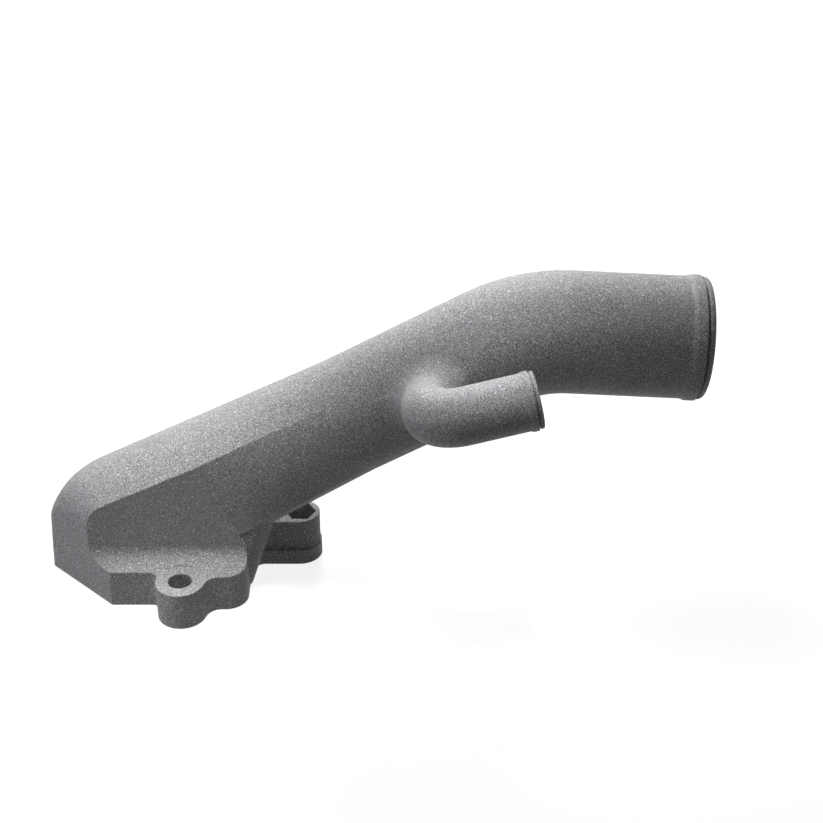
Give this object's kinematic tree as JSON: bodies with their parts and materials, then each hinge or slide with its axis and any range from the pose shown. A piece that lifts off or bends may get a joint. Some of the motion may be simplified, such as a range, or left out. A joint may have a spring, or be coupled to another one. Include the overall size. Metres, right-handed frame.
{
  "type": "radiator coolant pipe",
  "caption": "Cast aluminium coolant pipe: a hooded bolting flange, a rising tube that bends to a beaded hose end, and a small branch nozzle.",
  "frame": {"origin": "on the flange's mating face, midway between the two side bolt holes", "axes": "+Z out of the engine along the bolts, +X along the tube towards the hose end, -Y the branch nozzle's side"},
  "size_m": [0.1948, 0.0733, 0.0996],
  "materials": {
    "cast_aluminium": "shot-blasted as cast, satin grey with fine grain"
  },
  "bodies": {
    "root": {"pipe_casting": "cast_aluminium"}
  },
  "joints": []
}
